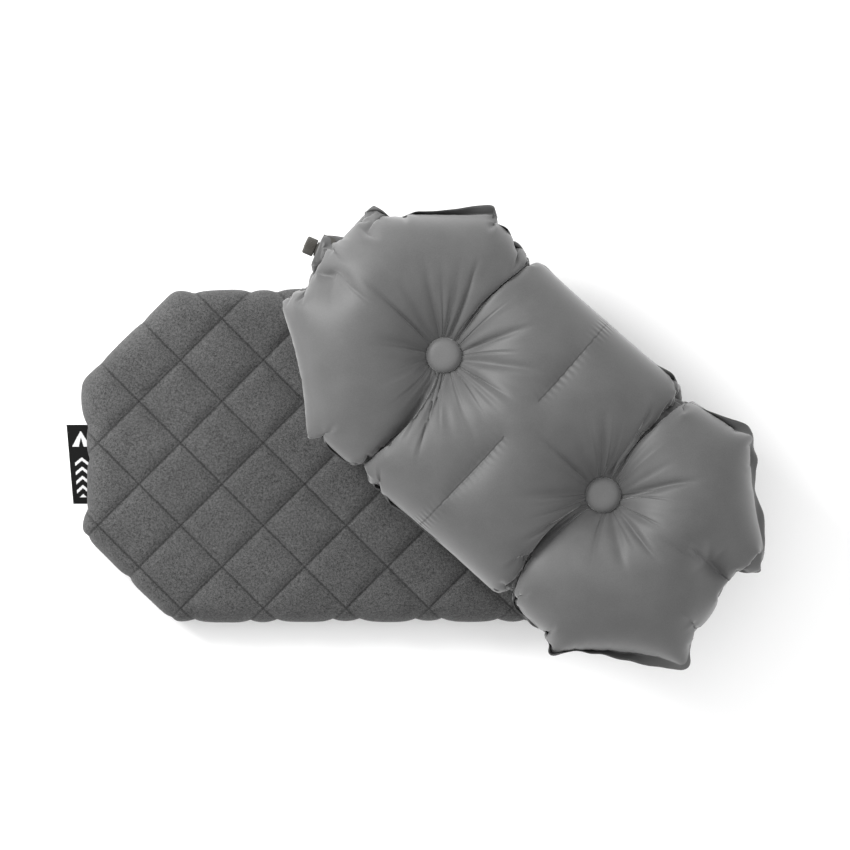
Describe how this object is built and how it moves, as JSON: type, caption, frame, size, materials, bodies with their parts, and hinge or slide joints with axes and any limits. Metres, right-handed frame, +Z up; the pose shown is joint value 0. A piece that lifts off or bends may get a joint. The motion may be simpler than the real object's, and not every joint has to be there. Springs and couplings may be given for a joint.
{
  "type": "camp pillow",
  "caption": "Long octagonal inflatable camp pillow with button tufts and a twist valve, lying turned on its own flat, diamond-quilted removable cover.",
  "frame": {"origin": "on the surface that the set lies on, under the middle of its footprint", "axes": "+X along the cover's length, from the labelled closed end to the open end; +Y across the cover; +Z up"},
  "size_m": [0.735, 0.4738, 0.1813],
  "materials": {
    "cover_jersey": "heathered mid-grey knit, matte",
    "batting": "white polyester loft",
    "lining": "plain grey lining cloth",
    "label": "black woven label with a plain white pattern",
    "bladder_fabric": "dark grey coated polyester with a soft sheen",
    "inner_webbing": "flat coated strip",
    "button_core": "moulded natural plastic",
    "valve_plastic": "moulded olive-grey plastic, satin",
    "seal_rubber": "black seal rubber"
  },
  "bodies": {
    "cover": {"cover_front_face": "cover_jersey", "cover_front_batting": "batting", "cover_front_lining": "lining", "cover_back_face": "cover_jersey", "cover_back_batting": "batting", "cover_back_lining": "lining", "cover_side_seam": "lining", "mouth_hem_front": "cover_jersey", "mouth_hem_back": "cover_jersey"},
    "label": {"side_label": "label"},
    "bladder": {"bladder_top_sheet": "bladder_fabric", "bladder_bottom_sheet": "bladder_fabric", "baffle_right": "inner_webbing", "baffle_left": "inner_webbing", "tuft_tie_valve_end": "inner_webbing", "tuft_tie_far_end": "inner_webbing", "button_core_top_valve_end": "button_core", "button_core_bottom_valve_end": "button_core", "button_core_top_far_end": "button_core", "button_core_bottom_far_end": "button_core", "button_cap_top_valve_end": "bladder_fabric", "button_cap_bottom_valve_end": "bladder_fabric", "button_cap_top_far_end": "bladder_fabric", "button_cap_bottom_far_end": "bladder_fabric", "valve_base": "valve_plastic", "valve_stop_ring": "seal_rubber"},
    "valve_plunger": {"valve_plunger": "button_core", "valve_o_ring": "seal_rubber"},
    "valve_knob": {"valve_knob": "valve_plastic"}
  },
  "joints": [
    {"name": "bladder_lift", "type": "slide", "parent": "cover", "child": "bladder", "axis": [0, 0, 1], "range_m": [0, 0.3]},
    {"name": "valve_travel", "type": "slide", "parent": "bladder", "child": "valve_plunger", "axis": [-0.9225, 0.3859, 0], "range_m": [0, 0.004]},
    {"name": "valve_twist", "type": "hinge", "parent": "valve_plunger", "child": "valve_knob", "pos_m": [-0.10165, 0.1818, 0.1188], "axis": [-0.9225, 0.3859, 0], "range_deg": [0, 450]},
    {"name": "label_flap", "type": "hinge", "parent": "cover", "child": "label", "pos_m": [-0.34945, -0.041, 0.028], "axis": [0, 1, 0], "range_deg": [-60, 60], "stiffness_Nm_per_rad": 0.01}
  ],
  "couplings": [
    {"joint": "valve_twist", "follows": "valve_travel", "rad_per_m": 1963.4}
  ]
}
